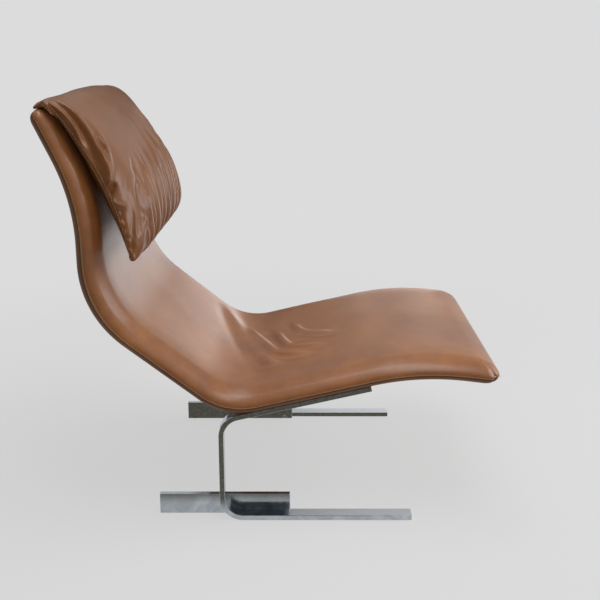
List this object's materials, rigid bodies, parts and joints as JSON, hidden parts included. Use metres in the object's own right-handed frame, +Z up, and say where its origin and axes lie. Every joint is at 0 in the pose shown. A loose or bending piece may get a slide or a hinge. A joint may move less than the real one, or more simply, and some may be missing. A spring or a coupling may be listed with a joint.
{
  "type": "cantilever lounge chair",
  "caption": "Low lounge chair: a padded leather wave of seat and back on two bent flat-steel legs, with a head cushion that flips up on a flap.",
  "frame": {"origin": "on the floor, midway between the chair's sides and midway from its front to its back", "axes": "+Z up, the chair faces -Y, +X is the sitter's left"},
  "size_m": [0.6, 1.0177, 0.9852],
  "materials": {
    "shell_leather": "smooth, satin",
    "cushion_leather": "smooth, satin",
    "foam": "open-cell foam",
    "frame_steel": "satin",
    "webbing": "woven",
    "polished_steel": "polished",
    "screw_steel": "satin",
    "black_plastic": "matte"
  },
  "bodies": {
    "chair": {"front_cover": "shell_leather", "rear_cover": "shell_leather", "front_foam": "foam", "rear_foam": "foam", "right_rail": "frame_steel", "left_rail": "frame_steel", "nose_cross_tube": "frame_steel", "seat_cross_tube": "frame_steel", "lumbar_cross_tube": "frame_steel", "head_cross_tube": "frame_steel", "rail_plugs": "black_plastic", "seat_webbing": "webbing", "back_webbing": "webbing", "webbing_rivets": "screw_steel", "right_mount_plate": "frame_steel", "left_mount_plate": "frame_steel", "right_arm_pad": "black_plastic", "left_arm_pad": "black_plastic", "right_leg": "polished_steel", "left_leg": "polished_steel", "right_foot_plate": "polished_steel", "left_foot_plate": "polished_steel", "seat_bolts": "screw_steel", "foot_plate_screws": "screw_steel", "lock_screws": "screw_steel", "floor_glides": "black_plastic", "cushion_flap": "cushion_leather", "flap_studs": "screw_steel"},
    "head_cushion": {"head_cushion_cover": "cushion_leather", "head_cushion_filling": "foam"}
  },
  "joints": [
    {"name": "head_cushion_lift", "type": "hinge", "parent": "chair", "child": "head_cushion", "pos_m": [0, 0.48277, 0.93624], "axis": [-1, 0, 0], "range_deg": [0, 85]}
  ]
}
